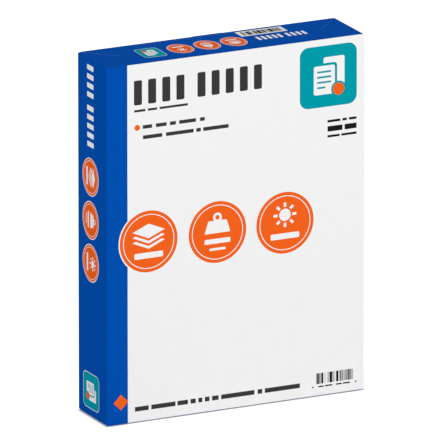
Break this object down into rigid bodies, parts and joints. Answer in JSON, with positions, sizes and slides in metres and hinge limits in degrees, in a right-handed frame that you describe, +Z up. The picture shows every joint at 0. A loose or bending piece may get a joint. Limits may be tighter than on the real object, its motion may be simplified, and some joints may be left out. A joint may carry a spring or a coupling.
{
  "type": "ream of paper",
  "caption": "Sealed ream of letter-size copy paper in a printed wrapper with folded ends and a lap seam, standing on its short end.",
  "frame": {"origin": "bottom centre of the pack's box, on the surface that the short end stands on", "axes": "+Z up along the sheets' length, +X to the right along their width, -Y out of the printed front and +Y out of the back with the lap seam"},
  "size_m": [0.2162, 0.05, 0.2814],
  "materials": {
    "wrapper": "satin"
  },
  "bodies": {
    "root": {"wrapped_ream": "wrapper"}
  },
  "joints": []
}
